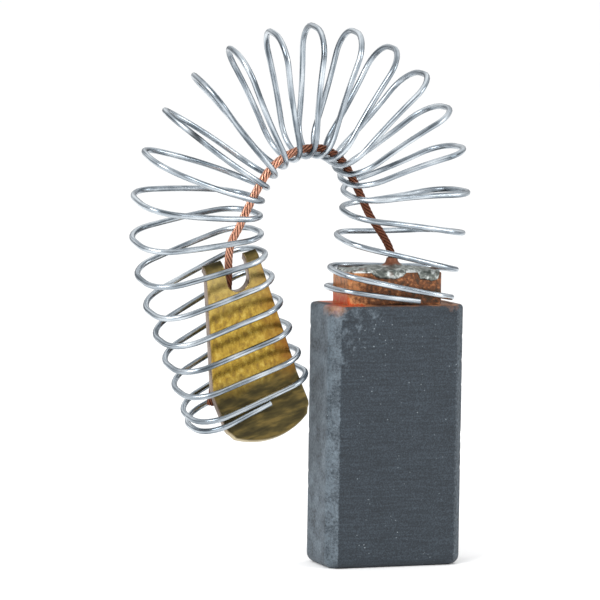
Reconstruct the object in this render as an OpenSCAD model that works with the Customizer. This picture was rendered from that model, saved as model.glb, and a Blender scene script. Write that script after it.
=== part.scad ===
// Carbon brush for the commutator of a small motor: a carbon block with a tenon head, a coil
// spring that bows over in an arch, and a stranded shunt that runs inside the spring's coils
// from the soldered head to a stamped brass terminal.
// The origin is the centre of the contact face, +X along the block's width, +Z towards the head.

/* [Carbon block] */
// Width of the block
block_width = 12.5; // [11:0.1:14]
// Thickness of the block
block_depth = 6.3; // [5.6:0.1:8]
// Height from the contact face to the shoulder
block_height = 22.8; // [18:0.1:30]
// Chamfer on the four upright edges
edge_chamfer = 0.8; // [0.4:0.1:1.2]
// Rounding round the contact face
contact_round = 0.8; // [0.4:0.1:1.2]
// Rounding round the shoulder
shoulder_round = 0.35; // [0.2:0.05:0.6]
// Width of the tenon
tenon_width = 8.7; // [7.8:0.1:8.8]
// Thickness of the tenon
tenon_depth = 4.3; // [4:0.1:4.7]
// Height of the tenon above the shoulder
tenon_height = 2.75; // [2:0.05:3.2]
// Rounding of the tenon's upright edges
tenon_round = 0.3; // [0.1:0.05:0.6]
// Diameter of the shunt's blind hole
socket_bore = 1.8; // [1.5:0.1:2.4]
// Depth of the shunt's blind hole below the top of the tenon
socket_depth = 4.5; // [3.5:0.5:8]

/* [Spring] */
// Wire diameter of the spring
wire_dia = 0.5; // [0.4:0.05:0.6]
// Width across the outside of a coil
coil_width = 11.5; // [11:0.1:12.5]
// Depth over the outside of a coil
coil_depth = 6.3; // [6:0.1:7]
// Corner radius of a coil, to the middle of the wire
coil_corner = 2.4; // [1.2:0.1:2.6]
// Distance from one coil to the next in the arch
coil_pitch = 2.52; // [2.3:0.01:2.7]
// Extra distance between the coils nearest to the head
head_stretch = 0.5; // [0:0.05:0.8]
// Running gap between the first coil and the shoulder
coil_seat_gap = 0.05; // [0.02:0.01:0.3]
// Lean of the coils at the head, away from the arch
head_lean = 7.5; // [0:0.5:8]
// Angle that the arch turns through
arch_angle = 213; // [190:0.5:216]
// Turn at which the arch begins to bend
arch_start = 1.4; // [1:0.1:3]
// Turn at which the arch begins to straighten
arch_end = 15.1; // [14:0.1:16]
// Forward lean of the arch from upright
arch_lean = 9.7; // [0:0.1:14]
// Turn of the arch about the block's upright axis
arch_yaw = 7.3; // [0:0.1:12]

/* [Shunt] */
// Diameter of the shunt
shunt_dia = 0.7; // [0.6:0.05:1]
// Room for the shunt in the solder
shunt_gap = 0.06; // [0.04:0.01:0.1]
// Length that stands straight above the solder's collar
shunt_stand = 0.4; // [0.2:0.1:1]
// Distance from the coils' middle towards the front at which it crosses the arch
shunt_forward = 1.2; // [0:0.1:1.2]

/* [Solder] */
// Thickness of the pool over the tenon at its edge
pool_edge = 0.25; // [0.15:0.05:0.5]
// Rise of the pool from its edge to its crown
pool_crown = 0.35; // [0.1:0.05:0.6]
// Width of the bare margin round the pool
pool_margin = 0.25; // [0:0.05:0.6]
// Height of the collar that climbs the shunt, above the tenon
collar_height = 0.9; // [0.7:0.1:1.5]
// Radius of the collar at its foot
collar_foot = 1.2; // [1:0.1:2]
// Thickness of the runs down the tenon's front
run_thickness = 0.2; // [0.1:0.05:0.3]
// Length of the runs down the tenon's front
run_length = 0.6; // [0.3:0.1:1]

/* [Terminal] */
// Thickness of the brass sheet
sheet = 0.8; // [0.5:0.05:0.9]
// Width of the terminal across its ears
ear_width = 5.1; // [4.6:0.1:5.4]
// Width of the terminal at the bend of its lip
lip_width = 8; // [7.2:0.1:8.4]
// Length from the tops of the ears to the bend
blade_length = 10.4; // [10:0.1:12]
// Length of the lip beyond the bend
lip_length = 5.2; // [4:0.1:6]
// Forward bend of the lip
lip_bend = 30; // [22:1:38]
// Inside radius of the lip's bend
bend_radius = 1; // [0.5:0.1:2]
// Radius of the lip's bowed free end
lip_bow = 6.4; // [5:0.1:9]
// Corner radius of the lip's free end
lip_corner = 0.8; // [0.3:0.1:1.5]
// Width of the notch between the ears
notch_width = 2.1; // [1.6:0.1:2.4]
// Depth of the notch
notch_depth = 2.2; // [1.9:0.1:3.5]
// Distance of the notch to the right of the middle
notch_offset = 0.25; // [0:0.05:0.4]
// Length of the tips bent back at the tops of the ears
tip_length = 0.3; // [0.2:0.1:1]
// Backward bend of the tips
tip_bend = 60; // [20:5:70]
// Angle between the terminal and the coils round it
terminal_slant = 8.8; // [5:0.1:10]
// Running gap between the lip and the front wire of the last coil
lip_gap = 0.15; // [0.1:0.05:0.3]
// Distance of the terminal from the coils' middle towards the inside of the arch
terminal_inset = 0.8; // [0.4:0.1:1]
// Distance of the lip's bend above the last coil
terminal_rise = 1.8; // [1.2:0.1:2.4]

/* [Hidden] */
$fn = 48;

overcut = 1;
lap = 0.02;
socket_tip = 0.4;
collar_lip = 0.12;
collar_flare = 0.12;
pool_corner = 1.3;
run_roundness = 0.8;
// Runs of solder down the tenon's front: middle and width of each
runs = [[-0.9, 3.4], [2.9, 1.7]];

// Turns of the spring are counted from where the wire first passes the left side of the tenon
first_turn = -0.31;
last_turn = 23.78;
pitch_in = 1.6;
pitch_out = 1.25;
stretch_turns = 3;
stretch_end = 5;
closed_turn = last_turn - 0.25;
bend_in = 2.5;
bend_out = 4.6;
lean_turns = 4.1;
lean_start = -0.5;
corner_steps = 5;
wire_sides = 8;
route_steps = 3;
arc_steps = 10;
wide_arc = 96;

// The coil's rounded oblong, along the middle of the wire
coil_a = (coil_width - wire_dia) / 2;
coil_b = (coil_depth - wire_dia) / 2;
corner_arc = PI * coil_corner / 2;
long_side = 2 * (coil_a - coil_corner);
short_side = 2 * (coil_b - coil_corner);
coil_length = 2 * long_side + 2 * short_side + 4 * corner_arc;
corner_at = [for (k = 0, s = short_side / 2; k < 4;
    s = s + corner_arc + (k % 2 == 0 ? long_side : short_side), k = k + 1) s];
corner_middle = [
    [-coil_a + coil_corner, coil_b - coil_corner],
    [coil_a - coil_corner, coil_b - coil_corner],
    [coil_a - coil_corner, -coil_b + coil_corner],
    [-coil_a + coil_corner, -coil_b + coil_corner],
];
side_way = [[1, 0], [0, -1], [-1, 0], [0, 1]];

function clamp(v) = min(max(v, 0), 1);
function unit(v) = v / norm(v);
function arc(radius, from, to) = [for (k = [0 : arc_steps])
    let (a = from + (to - from) * k / arc_steps) radius * [cos(a), sin(a)]];
function eased(v, width) = v <= 0 ? 0 : v < width ? v * v / (2 * width) : v - width / 2;
function on_corner(k, angle) = corner_middle[k] + coil_corner * [cos(angle), sin(angle)];

// Point of the oblong at a share of the turn, from the left side by way of the back
function oblong(share) =
    let (s = share * coil_length, k = len([for (c = corner_at) if (s >= c) c]) - 1)
    k < 0 ? [-coil_a, s] :
    let (along = s - corner_at[k], turned = 90 * min(along / corner_arc, 1))
    on_corner(k, 180 - 90 * k - turned) + side_way[k] * max(along - corner_arc, 0);

// Direction and pitch of the spring's middle line at a turn
arch_span = eased(last_turn - arch_start, bend_in) - eased(last_turn - arch_end, bend_out);
function heading(t) =
    -head_lean + arch_angle * (eased(t - arch_start, bend_in) - eased(t - arch_end, bend_out)) / arch_span;
function pitch(t) =
    (coil_pitch + head_stretch * clamp((stretch_end - t) / stretch_turns))
    * clamp((t - first_turn) / pitch_in) * clamp((closed_turn - t) / pitch_out);

// Turns at which the wire has a ring: round each corner, and at both ends
turns = concat(
    [first_turn],
    [for (turn = [floor(first_turn) : floor(last_turn)], s = corner_at, j = [0 : corner_steps])
        let (t = turn + (s + corner_arc * j / corner_steps) / coil_length)
        if (t > first_turn && t < last_turn) t],
    [last_turn]
);
axis_path = [for (i = 0, p = [0, 0]; i < len(turns);
    i = i + 1,
    p = i < len(turns)
        ? let (a = turns[i - 1], b = turns[i], h = heading((a + b) / 2))
            p + (b - a) * pitch((a + b) / 2) * [-sin(h), cos(h)]
        : p) p];
axis_x = [for (i = [0 : len(turns) - 1]) [turns[i], axis_path[i].x]];
axis_z = [for (i = [0 : len(turns) - 1]) [turns[i], axis_path[i].y]];
function axis_at(t) = [lookup(t, axis_x), lookup(t, axis_z)];

// A point of the arch's own plane, x across, y back and z up, leaned and turned by a share
function leaned(p, lean) = [p.x, p.y * cos(lean) - p.z * sin(lean), p.y * sin(lean) + p.z * cos(lean)];
function yawed(p, yaw) = [p.x * cos(yaw) - p.y * sin(yaw), p.x * sin(yaw) + p.y * cos(yaw), p.z];
function placed(p, share) = yawed(leaned(p, arch_lean * share), arch_yaw * share);
function lean_share(t) = clamp((t - lean_start) / lean_turns);
function across(t, distance) = distance * [cos(heading(t)), sin(heading(t))];
function coil_point(t) =
    let (o = oblong(t - floor(t)), c = axis_at(t) + across(t, o.x))
    placed([c.x, o.y, c.y], lean_share(t));
function coil_middle(t) =
    let (c = axis_at(t)) placed([c.x, 0, c.y], lean_share(t));

wire_points = [for (t = turns) coil_point(t)];
lowest = min([for (i = [0 : len(turns) - 1]) if (turns[i] < 2) wire_points[i].z]);
arch_foot_x = 0.15;
arch_foot = [arch_foot_x, 0, block_height + wire_dia / 2 + coil_seat_gap - lowest];

// The terminal's frame: its origin is the middle of the sheet at the bend of the lip
// The blade stands back far enough for its lip to pass behind the front wire of the last coil,
// at the side where the slant takes that wire furthest from the bend
wire_drop = terminal_rise / cos(terminal_slant) + lip_width / 2 * tan(terminal_slant);
terminal_setback = bend_radius * (1 - cos(lip_bend)) - wire_dia / 2
    + (wire_dia / 2 + lip_gap + (wire_drop - bend_radius * sin(lip_bend)) * sin(lip_bend))
    / cos(lip_bend);
terminal_forward = coil_b - (wire_dia + sheet) / 2 - terminal_setback;
leg_heading = heading(last_turn);
terminal_tilt = 180 - leg_heading + terminal_slant;
terminal_foot = axis_at(last_turn) + terminal_rise * [sin(leg_heading), -cos(leg_heading)]
    - across(last_turn, terminal_inset);
function terminal_point(p) = arch_foot + placed([
    terminal_foot.x + p.x * cos(terminal_tilt) + p.z * sin(terminal_tilt),
    p.y - terminal_forward,
    terminal_foot.y - p.x * sin(terminal_tilt) + p.z * cos(terminal_tilt),
], 1);

// The shunt's route: out of the solder, along the inner side of the coils, then down behind
// the terminal's blade to its cut end
shunt_inset = (wire_dia + shunt_dia) / 2 + shunt_gap;
blade_back = (sheet + shunt_dia) / 2 + shunt_gap;
tenon_top = block_height + tenon_height;
socket_x = 0.4;
function inner_wall(t, inset, forward) =
    let (
        round = coil_corner - shunt_inset,
        aside = min(max(forward - coil_b + coil_corner, 0), round),
        reach = coil_a - coil_corner + sqrt(round * round - aside * aside),
        c = axis_at(t) + across(t, inset - reach)
    )
    arch_foot + placed([c.x, -forward, c.y], lean_share(t));
// Turn, distance from the inner wall and distance forward, before and after the shunt lies on
// the coils
near_head = [[3, 1.4, 0], [4, 0.35, 0]];
near_terminal = [[15.5, 0.4, 0.95], [16.5, 1.1, 0.65], [17.3, 1.95, 0.2]];
forward_from = 6;
forward_turns = 3;
// Across and up from the middle of the lip's bend
behind_blade = [[-0.35, 8.4], [-1.4, 5.3], [-2.6, 2.2], [-3.95, -1.3]];
shunt_route = concat(
    [for (z = [socket_tip - socket_depth, 0, collar_height + shunt_stand])
        [socket_x, 0, tenon_top + z]],
    [for (p = near_head) inner_wall(p[0], p[1], p[2])],
    [for (t = [5 : 14]) inner_wall(t, 0, shunt_forward * clamp((t - forward_from) / forward_turns))],
    [for (p = near_terminal) inner_wall(p[0], p[1], p[2])],
    [for (p = behind_blade) terminal_point([p.x, blade_back, p.y])]
);

module carbon_block() {
    color([0.30, 0.33, 0.37])
    difference() {
        union() {
            block_body();
            tenon();
        }
        translate([socket_x, 0, tenon_top - socket_depth])
            cylinder(d = socket_bore, h = socket_depth + overcut);
    }
}

// The block: chamfered in plan, and rounded at the foot and the shoulder in both side views
module block_body() {
    intersection() {
        linear_extrude(block_height) chamfered(block_width, block_depth, edge_chamfer);
        rotate([90, 0, 0])
            linear_extrude(block_depth + 2 * overcut, center = true) side_view(block_width);
        rotate([90, 0, 90])
            linear_extrude(block_width + 2 * overcut, center = true) side_view(block_depth);
    }
}

module chamfered(width, depth, chamfer) {
    x = width / 2;
    y = depth / 2;
    polygon([
        [-x + chamfer, -y], [x - chamfer, -y], [x, -y + chamfer], [x, y - chamfer],
        [x - chamfer, y], [-x + chamfer, y], [-x, y - chamfer], [-x, -y + chamfer],
    ]);
}

module side_view(width) {
    foot = contact_round;
    top = shoulder_round;
    translate([-width / 2, foot]) square([width, block_height - foot - top]);
    translate([-width / 2 + foot, 0]) square([width - 2 * foot, block_height / 2]);
    translate([-width / 2 + top, block_height / 2])
        square([width - 2 * top, block_height / 2]);
    for (side = [-1, 1]) {
        translate([side * (width / 2 - foot), foot]) circle(foot);
        translate([side * (width / 2 - top), block_height - top]) circle(top);
    }
}

module tenon() {
    translate([0, 0, block_height - overcut])
        linear_extrude(tenon_height + overcut) rounded(tenon_width, tenon_depth, tenon_round);
}

module rounded(width, depth, radius) {
    square([width - 2 * radius, depth], center = true);
    square([width, depth - 2 * radius], center = true);
    for (x = [-1, 1], y = [-1, 1])
        translate([x * (width / 2 - radius), y * (depth / 2 - radius)]) circle(radius);
}

// The solder: a plug round the shunt in its hole, a domed pool with a collar that climbs the
// shunt, and two runs down the front of the tenon
module solder() {
    color([0.62, 0.64, 0.65])
    difference() {
        union() {
            translate([socket_x, 0, tenon_top - socket_depth])
                cylinder(d = socket_bore, h = socket_depth);
            pool();
            collar();
            for (r = runs) run(r[0], r[1]);
        }
        translate([socket_x, 0, tenon_top - socket_depth + socket_tip - shunt_gap])
            cylinder(d = shunt_dia + 2 * shunt_gap, h = socket_depth + collar_height);
        translate([socket_x, 0, tenon_top])
            cylinder(d1 = shunt_dia, d2 = shunt_dia + 2 * collar_flare, h = collar_height);
    }
}

module pool() {
    width = tenon_width - 2 * pool_margin;
    depth = tenon_depth - 2 * pool_margin;
    crown_radius = (width * width / 4 + pool_crown * pool_crown) / (2 * pool_crown);
    intersection() {
        translate([0, 0, tenon_top])
            linear_extrude(pool_edge + pool_crown) rounded(width, depth, pool_corner);
        translate([0, 0, tenon_top + pool_edge + pool_crown - crown_radius])
            sphere(crown_radius, $fn = wide_arc);
    }
}

// Concave collar, wide on the pool and closing on the shunt
module collar() {
    lip = shunt_dia / 2 + shunt_gap + collar_lip;
    flare = collar_foot - lip;
    rise = collar_height - pool_edge;
    translate([socket_x, 0, tenon_top])
        rotate_extrude()
            polygon(concat(
                [[0, 0], [collar_foot, 0]],
                [for (p = arc(1, -90, -180)) [collar_foot + flare * p.x, collar_height + rise * p.y]],
                [[0, collar_height]]
            ));
}

// A run of solder: a tongue over the tenon's edge and a drop with round corners down its front
module run(x, width) {
    radius = run_length * run_roundness;
    tongue = 2 * pool_margin + run_thickness;
    translate([x - width / 2 + radius, -tenon_depth / 2 - run_thickness, tenon_top])
        cube([width - 2 * radius, tongue, pool_edge]);
    translate([x, -tenon_depth / 2, tenon_top])
        rotate([90, 0, 0])
            linear_extrude(run_thickness) {
                translate([-width / 2 + radius, -run_length]) square([width - 2 * radius, run_length]);
                translate([-width / 2, -run_length + radius]) square([width, run_length - radius]);
                for (side = [-1, 1])
                    translate([side * (width / 2 - radius), -run_length + radius]) circle(radius);
            }
}

// A round bar of one radius swept along a line of points; each ring starts at the side that
// its outward direction points to, so the bar never twists
module swept(points, outward, radius, sides) {
    last = len(points) - 1;
    rings = [for (i = [0 : last])
        let (
            way = unit(points[min(i + 1, last)] - points[max(i - 1, 0)]),
            first = unit(outward[i] - (outward[i] * way) * way),
            second = cross(way, first)
        )
        for (k = [0 : sides - 1])
            points[i] + radius * (cos(360 * k / sides) * first + sin(360 * k / sides) * second)
    ];
    walls = [for (i = [0 : last - 1], k = [0 : sides - 1])
        let (a = i * sides + k, b = i * sides + (k + 1) % sides)
        each [[b, a, a + sides], [b, a + sides, b + sides]]
    ];
    caps = [[for (k = [0 : sides - 1]) k], [for (k = [sides - 1 : -1 : 0]) last * sides + k]];
    polyhedron(rings, concat(walls, caps));
}

module spring() {
    color([0.72, 0.75, 0.78])
    swept(
        [for (p = wire_points) p + arch_foot],
        [for (t = turns) coil_point(t) - coil_middle(t)],
        wire_dia / 2,
        wire_sides
    );
}

// The shunt bends smoothly through the points of its route
module shunt() {
    ends = len(shunt_route) - 1;
    line = concat([for (i = [0 : ends - 1], j = [0 : route_steps - 1])
        between(shunt_route, i, j / route_steps)], [shunt_route[ends]]);
    color([0.72, 0.42, 0.30]) swept(line, [for (p = line) [0, 1, 0]], shunt_dia / 2, wire_sides);
}

// Point on the smooth curve between points i and i + 1
function between(route, i, f) =
    let (p = route[i], q = route[i + 1], reach = norm(q - p))
    p * (1 - 3 * f * f + 2 * f * f * f) + q * (3 * f * f - 2 * f * f * f)
    + reach * way_at(route, i) * (f - 2 * f * f + f * f * f)
    + reach * way_at(route, i + 1) * (f * f * f - f * f);

function way_at(route, i) =
    let (last = len(route) - 1)
    i == 0 ? unit(route[1] - route[0]) :
    i == last ? unit(route[last] - route[last - 1]) :
    unit(unit(route[i + 1] - route[i]) + unit(route[i] - route[i - 1]));

// The terminal: a tapered blade notched at the top between two ears with bent tips, and a
// rounded lip bent forward at the foot
module terminal() {
    color([0.74, 0.62, 0.28])
    translate(arch_foot)
        rotate([arch_lean, 0, arch_yaw])
            translate([terminal_foot.x, -terminal_forward, terminal_foot.y])
                rotate([0, terminal_tilt, 0])
                    difference() {
                        union() {
                            blade();
                            lip();
                        }
                        notch();
                    }
}

module blade() {
    top = blade_length + tip_length;
    intersection() {
        rotate([90, 0, 90])
            linear_extrude(2 * lip_width, center = true) blade_side();
        rotate([90, 0, 0])
            linear_extrude(2 * top, center = true)
                polygon([
                    [-lip_width / 2, 0], [lip_width / 2, 0],
                    [ear_width / 2, blade_length], [ear_width / 2, top],
                    [-ear_width / 2, top], [-ear_width / 2, blade_length],
                ]);
    }
}

// Side view of the blade and its tips: y is the front-to-back direction
module blade_side() {
    translate([-sheet / 2, 0]) square([sheet, blade_length]);
    translate([sheet / 2, blade_length]) {
        rotate(-tip_bend) translate([-sheet, 0]) square([sheet, tip_length]);
        polygon(concat([[0, 0]], arc(sheet, 180, 180 - tip_bend)));
    }
}

module lip() {
    turn_radius = bend_radius + sheet;
    straight = lip_length - bend_radius * lip_bend * PI / 180;
    translate([0, -sheet / 2 - bend_radius, 0]) {
        rotate([90, 0, 90])
            linear_extrude(lip_width, center = true)
                polygon(concat(arc(turn_radius, 0, -lip_bend), arc(bend_radius, -lip_bend, 0)));
        rotate([-lip_bend, 0, 0])
            translate([0, turn_radius, 0])
                rotate([90, 0, 0])
                    linear_extrude(sheet) lip_outline(straight);
    }
}

// Outline of the lip, with a bowed free end and rounded corners
module lip_outline(straight) {
    intersection() {
        translate([-lip_width / 2, -straight]) square([lip_width, straight + lap]);
        offset(lip_corner) offset(-lip_corner)
            intersection() {
                translate([-lip_width / 2, -straight]) square([lip_width, 2 * straight]);
                translate([0, lip_bow - straight]) circle(lip_bow, $fn = wide_arc);
            }
    }
}

module notch() {
    foot = blade_length - notch_depth + notch_width / 2;
    depth = 2 * (sheet + tip_length + overcut);
    translate([notch_offset, 0, foot])
        rotate([90, 0, 0])
            cylinder(d = notch_width, h = depth, center = true);
    translate([notch_offset - notch_width / 2, -depth / 2, foot])
        cube([notch_width, depth, blade_length]);
}

carbon_block();
solder();
shunt();
spring();
terminal();
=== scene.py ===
"""Carbon brush: a ground carbon block with a copper-plated, soldered head, an arched oblong coil
spring, a stranded copper shunt inside it and a stamped brass terminal.

Every class holds its sizes in millimetres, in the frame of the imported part, and turns them into
metres where it makes its mesh.
"""
import logging
import math
from dataclasses import dataclass
from enum import Enum
from functools import cached_property

import bpy
import numpy as np
from mathutils import Matrix, Vector, noise
from mathutils.geometry import delaunay_2d_cdt


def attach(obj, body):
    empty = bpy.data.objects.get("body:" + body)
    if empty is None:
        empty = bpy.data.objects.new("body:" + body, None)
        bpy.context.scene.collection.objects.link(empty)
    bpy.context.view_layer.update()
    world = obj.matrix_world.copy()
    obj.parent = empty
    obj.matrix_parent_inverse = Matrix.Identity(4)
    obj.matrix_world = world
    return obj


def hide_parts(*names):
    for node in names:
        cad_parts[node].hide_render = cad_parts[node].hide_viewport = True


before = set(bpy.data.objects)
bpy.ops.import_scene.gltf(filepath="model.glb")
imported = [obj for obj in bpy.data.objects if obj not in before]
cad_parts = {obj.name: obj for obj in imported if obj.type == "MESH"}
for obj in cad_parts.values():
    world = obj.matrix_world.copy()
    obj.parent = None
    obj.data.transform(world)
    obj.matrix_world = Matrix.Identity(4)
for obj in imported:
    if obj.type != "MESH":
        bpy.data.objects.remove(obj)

LOG = logging.getLogger("carbon_brush")
MM = 0.001


class Node(Enum):
    """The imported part's solids that the pieces here stand for."""

    BLOCK = "carbon_block"
    SOLDER = "solder"
    SHUNT = "shunt"
    SPRING = "spring"
    TERMINAL = "terminal"


class Slot(Enum):
    """The record's material slots."""

    CARBON = "carbon"
    SOLDER = "solder"
    COPPER = "copper"
    WIRE = "spring_wire"
    BRASS = "brass"


def linear(code: str) -> tuple[float, float, float, float]:
    """Turns an sRGB hex colour into linear light.

    Args:
        code: six hex digits with a leading hash.

    Returns:
        Red, green, blue and an alpha of one.
    """
    parts = [int(code[i:i + 2], 16) / 255 for i in (1, 3, 5)]
    red, green, blue = (c / 12.92 if c <= 0.04045 else ((c + 0.055) / 1.055) ** 2.4 for c in parts)
    return red, green, blue, 1.0


def add(tree: bpy.types.NodeTree, kind: str, values: dict | None = None,
        links: dict | None = None) -> bpy.types.Node:
    """Adds one shader node with its settings and links.

    Args:
        tree: the node tree that it joins.
        kind: the node's type.
        values: properties by their lower-case name, sockets by name or number, and "stops" for
            the places and colours of a colour ramp.
        links: sockets by name or number, each with the output that feeds it.

    Returns:
        The new node.
    """
    made = tree.nodes.new(kind)
    for key, value in (values or {}).items():
        if key == "stops":
            ramp = made.color_ramp
            while len(ramp.elements) < len(value):
                ramp.elements.new(1.0)
            for stop, (place, colour) in zip(ramp.elements, value):
                stop.position, stop.color = place, colour
        elif isinstance(key, str) and key.islower():
            setattr(made, key, value)
        else:
            made.inputs[key].default_value = value
    for key, source in (links or {}).items():
        tree.links.new(source, made.inputs[key])
    return made


def smooth(low: float, high: float, value: np.ndarray) -> np.ndarray:
    """Rises smoothly from 0 at low to 1 at high."""
    share = np.clip((value - low) / (high - low), 0, 1)
    return share * share * (3 - 2 * share)


def unit(vectors: np.ndarray) -> np.ndarray:
    """Scales each row to a length of one."""
    return vectors / np.linalg.norm(vectors, axis=-1, keepdims=True)


def lumps(points: np.ndarray, size: float, seed: float = 0.0) -> np.ndarray:
    """Smooth noise, about -1 to 1, at each point; size is from lump to lump in millimetres."""
    return np.array([noise.noise(Vector(p / size) + Vector((seed, seed * 1.7, -seed)))
                     for p in points])


def shown(name: str, data: bpy.types.ID) -> bpy.types.Object:
    """Makes an object and puts it in the scene.

    Args:
        name: the object's name.
        data: its mesh, lamp or camera.

    Returns:
        The object.
    """
    made = bpy.data.objects.new(name, data)
    bpy.context.scene.collection.objects.link(made)
    return made


def started(name: str) -> tuple[bpy.types.Material, bpy.types.NodeTree]:
    """Starts a material.

    Args:
        name: the material's name.

    Returns:
        The material and its empty node tree.
    """
    made = bpy.data.materials.new(name)
    made.use_nodes = True
    made.node_tree.nodes.clear()
    return made, made.node_tree


def piece(name: str, points: np.ndarray, faces: list, node: Node, slot: Slot,
          finish: bpy.types.Material, crease: float = 40.0,
          marks: dict[str, np.ndarray] | None = None) -> bpy.types.Object:
    """Makes a mesh object that rides on the part and stands for one of its solids.

    Args:
        name: the object's name.
        points: places in millimetres, one a row.
        faces: tuples of point numbers.
        node: the solid it stands for.
        slot: the record's slot for its finish; not used.
        finish: its material.
        crease: edges sharper than this many degrees stay sharp.
        marks: vectors at the points, by the name that the finish reads them by.

    Returns:
        The object.
    """
    mesh = bpy.data.meshes.new(name)
    mesh.from_pydata((points * MM).tolist(), [], faces)
    for mark, values in (marks or {}).items():
        layer = mesh.attributes.new(mark, "FLOAT_VECTOR", "POINT")
        layer.data.foreach_set("vector", np.asarray(values, dtype=np.float32).ravel())
    mesh.materials.append(finish)
    mesh.shade_smooth()
    mesh.set_sharp_from_angle(angle=math.radians(crease))
    made = shown(name, mesh)
    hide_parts(node.value)
    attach(made, "root")
    LOG.info("%s: %d points, %d faces", name, len(points), len(faces))
    return made


def lengths(line: np.ndarray) -> np.ndarray:
    """Distance along a line at each of its points."""
    return np.concatenate([[0], np.cumsum(np.linalg.norm(np.diff(line, axis=0), axis=1))])


def rounding(radius: float, count: int) -> list[tuple[float, float]]:
    """Inset and rise of so many points up a rounded edge, from its foot to its side."""
    return [(radius * (1 - math.cos(angle)), radius * (1 - math.sin(angle)))
            for angle in np.radians(np.linspace(90, 0, count))]


def ring_faces(count: int, around: int) -> list[tuple[int, ...]]:
    """Joins a row of rings with faces and closes both ends.

    Args:
        count: how many rings there are.
        around: how many points each has.

    Returns:
        The faces, as point numbers.
    """
    faces = [(i * around + k, i * around + (k + 1) % around,
              (i + 1) * around + (k + 1) % around, (i + 1) * around + k)
             for i in range(count - 1) for k in range(around)]
    return faces + [tuple(range(around - 1, -1, -1)),
                    tuple(range((count - 1) * around, count * around))]


def tube(line: np.ndarray, outward: np.ndarray, radius: float,
         sides: int) -> tuple[np.ndarray, list, np.ndarray]:
    """Sweeps a round bar along a line.

    Args:
        line: its middle line in millimetres.
        outward: for each point, the direction that the ring's first corner points to.
        radius: the bar's radius.
        sides: corners round a ring.

    Returns:
        The points, the faces, and for each point its distance along and its place round the bar.
    """
    way = unit(np.gradient(line, axis=0))
    first = unit(outward - (outward * way).sum(1, keepdims=True) * way)
    second = np.cross(way, first)
    angle = np.linspace(0, 2 * math.pi, sides, endpoint=False)
    ring = (np.cos(angle)[None, :, None] * first[:, None]
            + np.sin(angle)[None, :, None] * second[:, None])
    points = (line[:, None] + radius * ring).reshape(-1, 3)
    marks = np.stack([np.repeat(lengths(line), sides), np.tile(radius * np.cos(angle), len(line)),
                      np.tile(radius * np.sin(angle), len(line))], axis=1)
    return points, ring_faces(len(line), sides), marks


def eased(value: np.ndarray, width: float) -> np.ndarray:
    """Zero below 0, then a parabola over the width, then a straight rise."""
    bend = value * value / (2 * width)
    return np.where(value <= 0, 0, np.where(value < width, bend, value - width / 2))


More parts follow.
